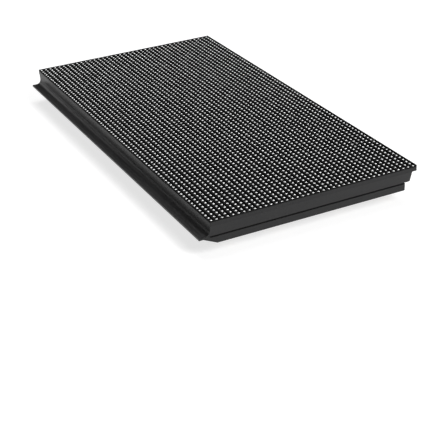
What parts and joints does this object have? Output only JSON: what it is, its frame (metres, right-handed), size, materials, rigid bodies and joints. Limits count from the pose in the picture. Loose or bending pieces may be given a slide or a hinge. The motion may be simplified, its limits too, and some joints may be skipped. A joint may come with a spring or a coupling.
{
  "type": "led display module",
  "caption": "Outdoor LED display module with a louvred lamp face, a ribbed rear shell with brass inserts and an overlapping edge lip.",
  "frame": {"origin": "centre of the rear mounting plane, where the outer brass inserts end flush with the rim", "axes": "+Z out through the lamp face, +Y along the long side, -X towards the long side with the overlapping lip"},
  "size_m": [0.1673, 0.32, 0.0265],
  "materials": {
    "mask_plastic": "matte black moulded plastic",
    "lamp_resin": "pale moulded lamp bodies",
    "potting": "satin black potting compound",
    "board": "black solder mask",
    "shell_plastic": "charcoal glass-filled plastic, fine texture",
    "cover_plastic": "charcoal plastic, fine texture",
    "gasket": "black silicone rubber",
    "insert_brass": "bright turned brass",
    "screw_steel": "zinc plated",
    "header_plastic": "black moulded plastic",
    "pin_metal": "gold flashed",
    "socket_plastic": "natural white moulded plastic",
    "pin_tinned": "tin plated",
    "chip_resin": "matte moulding resin",
    "capacitor_body": "moulded resin",
    "ceramic_body": "fired ceramic",
    "resistor_body": "glazed"
  },
  "bodies": {
    "root": {"front_mask": "mask_plastic", "lamp_rows": "lamp_resin", "lamp_potting": "potting", "lamp_board": "board", "rear_shell": "shell_plastic", "rear_cover": "cover_plastic", "cover_gasket": "gasket", "mount_inserts": "insert_brass", "mask_screws": "screw_steel", "data_in_header": "header_plastic", "data_in_pins": "pin_metal", "data_out_header": "header_plastic", "data_out_pins": "pin_metal", "power_socket": "socket_plastic", "power_pins": "pin_tinned", "column_driver_chips": "chip_resin", "row_switch_chips": "chip_resin", "signal_buffer_chips": "chip_resin", "smoothing_capacitors": "capacitor_body", "decoupling_capacitors": "ceramic_body", "current_set_resistors": "resistor_body"}
  },
  "joints": []
}
